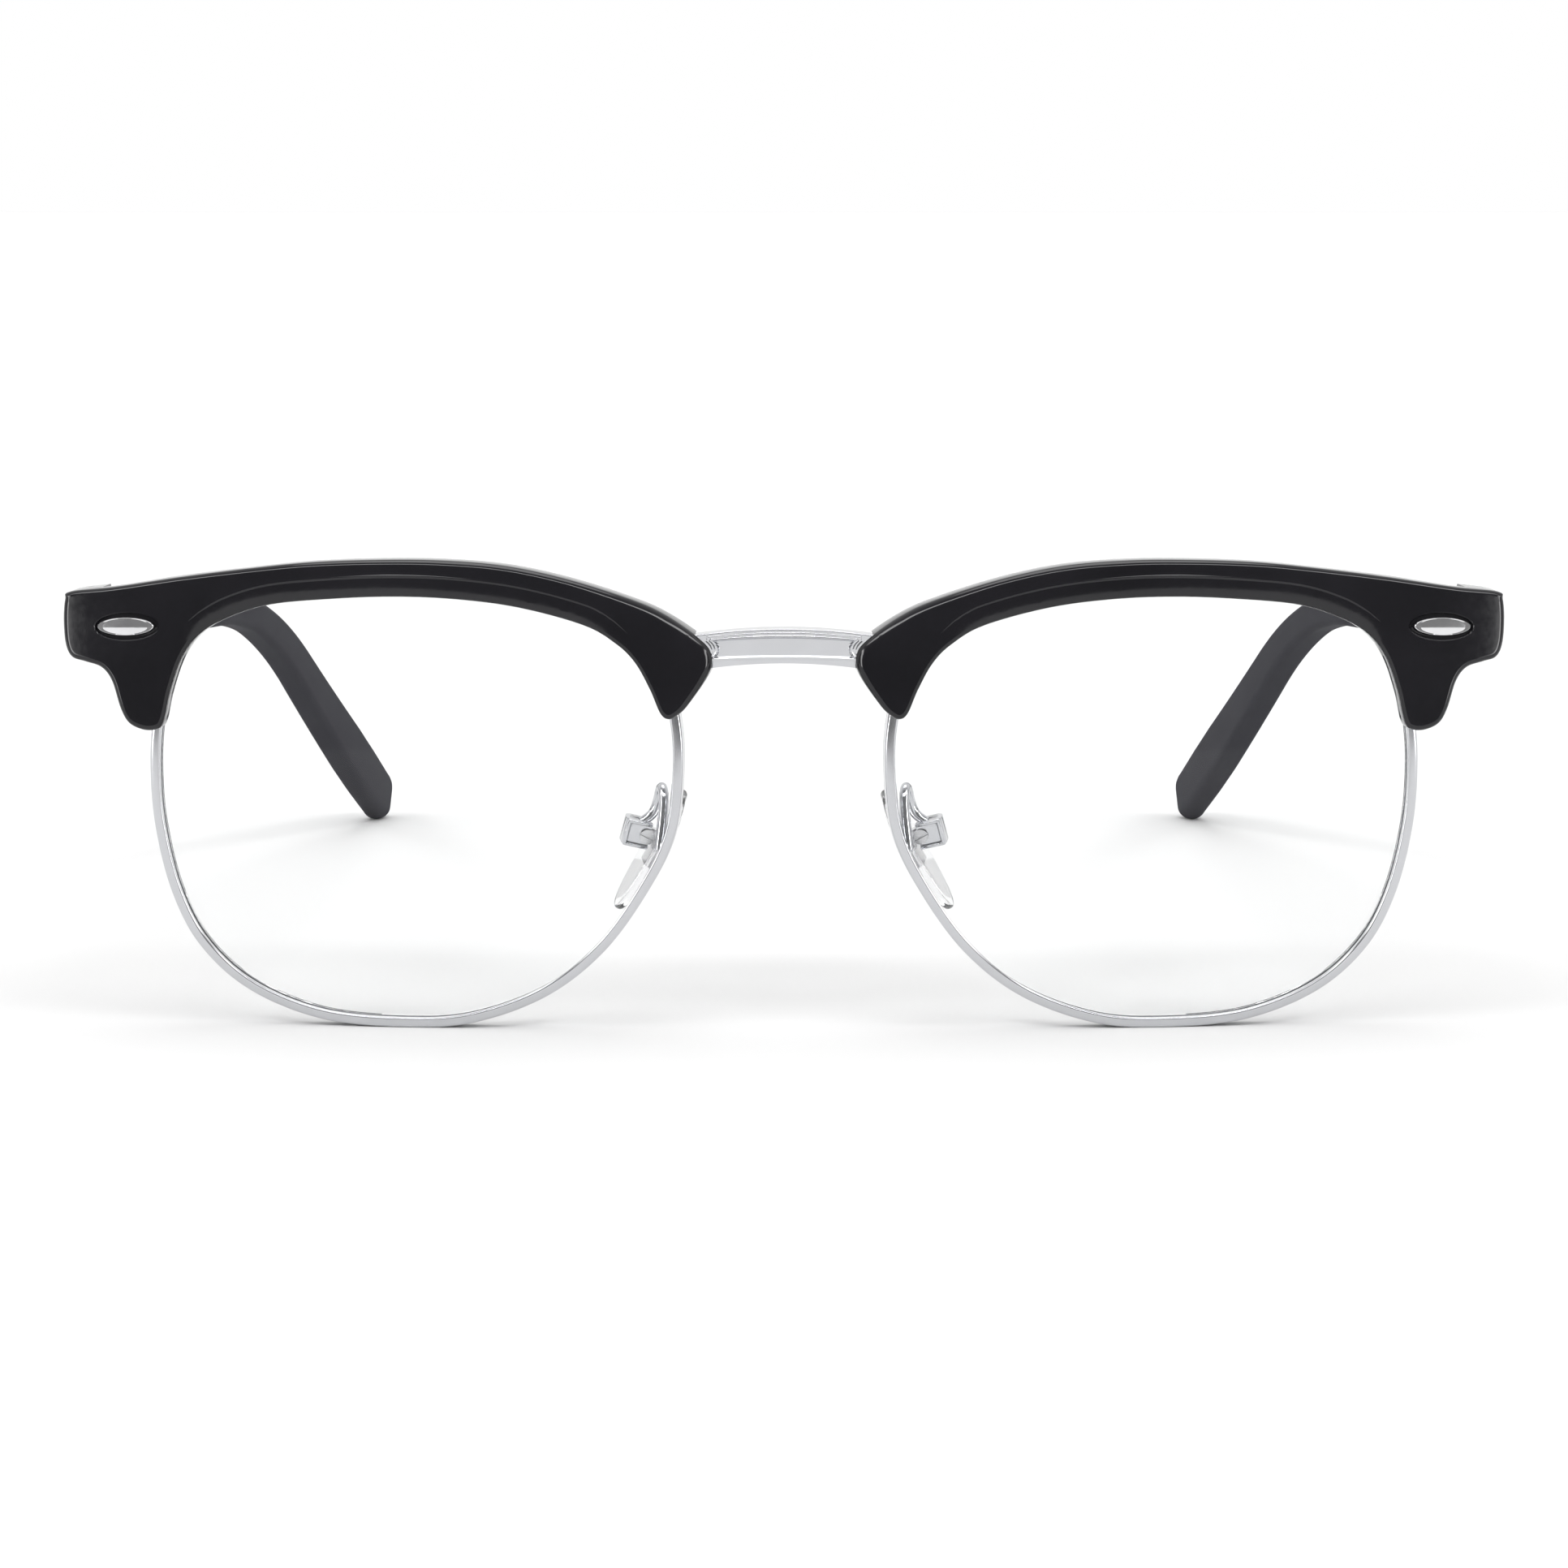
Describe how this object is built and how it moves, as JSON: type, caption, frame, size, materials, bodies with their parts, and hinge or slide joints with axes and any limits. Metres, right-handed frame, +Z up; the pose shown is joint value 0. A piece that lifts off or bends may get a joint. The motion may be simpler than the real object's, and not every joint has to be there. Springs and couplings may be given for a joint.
{
  "type": "half rim eyeglasses",
  "caption": "Browline eyeglasses: black brow pieces over slim metal eyewires, clear lenses, rocking nose pads and folding temples with curved ends.",
  "frame": {"origin": "on the surface that the glasses rest on, under the middle of the whole outline", "axes": "+X to the wearer's left, +Y from the lenses back along the temples, +Z up; the lenses face -Y"},
  "size_m": [0.141, 0.1462, 0.0459],
  "materials": {
    "brow_acetate": "polished black acetate",
    "temple_acetate": "satin black acetate",
    "frame_metal": "polished nickel-plated wire",
    "emblem_metal": "polished stud",
    "hinge_metal": "tumbled nickel silver",
    "screw_steel": "turned steel",
    "core_steel": "drawn wire",
    "lens_clear": "clear, coated",
    "pad_silicone": "clear soft silicone",
    "pad_insert": "stamped plate"
  },
  "bodies": {
    "front": {"bridge": "frame_metal", "brow_left": "brow_acetate", "brow_right": "brow_acetate", "eyewire_left": "frame_metal", "eyewire_right": "frame_metal", "lens_left": "lens_clear", "lens_right": "lens_clear", "brow_screw_left": "screw_steel", "brow_screw_right": "screw_steel", "rim_screw_left": "screw_steel", "rim_screw_right": "screw_steel", "emblem_left": "emblem_metal", "emblem_right": "emblem_metal", "hinge_front_leaf_left": "hinge_metal", "hinge_front_leaf_right": "hinge_metal", "front_rivets_left": "hinge_metal", "front_rivets_right": "hinge_metal", "hinge_screw_left": "screw_steel", "hinge_screw_right": "screw_steel", "pad_arm_left": "frame_metal", "pad_arm_right": "frame_metal", "pad_box_left": "frame_metal", "pad_box_right": "frame_metal", "pad_screw_left": "screw_steel", "pad_screw_right": "screw_steel"},
    "temple_arm_left": {"temple_left": "temple_acetate", "temple_core_left": "core_steel", "hinge_rear_leaf_left": "hinge_metal", "rear_rivets_left": "hinge_metal"},
    "temple_arm_right": {"temple_right": "temple_acetate", "temple_core_right": "core_steel", "hinge_rear_leaf_right": "hinge_metal", "rear_rivets_right": "hinge_metal"},
    "pad_left": {"nose_pad_left": "pad_silicone", "pad_insert_left": "pad_insert"},
    "pad_right": {"nose_pad_right": "pad_silicone", "pad_insert_right": "pad_insert"}
  },
  "joints": [
    {"name": "temple_fold_left", "type": "hinge", "parent": "front", "child": "temple_arm_left", "pos_m": [0.065, -0.06066, 0.0389], "axis": [0, 0.0697, 0.9976], "range_deg": [0, 85]},
    {"name": "temple_fold_right", "type": "hinge", "parent": "front", "child": "temple_arm_right", "pos_m": [-0.065, -0.06066, 0.0389], "axis": [0, -0.0697, -0.9976], "range_deg": [0, 81]},
    {"name": "pad_rock_left", "type": "hinge", "parent": "front", "child": "pad_left", "pos_m": [0.0136, -0.06546, 0.0186], "axis": [0.1205, 0.9903, 0.0696], "range_deg": [-10, 10]},
    {"name": "pad_rock_right", "type": "hinge", "parent": "front", "child": "pad_right", "pos_m": [-0.0136, -0.06546, 0.0186], "axis": [-0.1205, 0.9903, 0.0696], "range_deg": [-10, 10]}
  ]
}
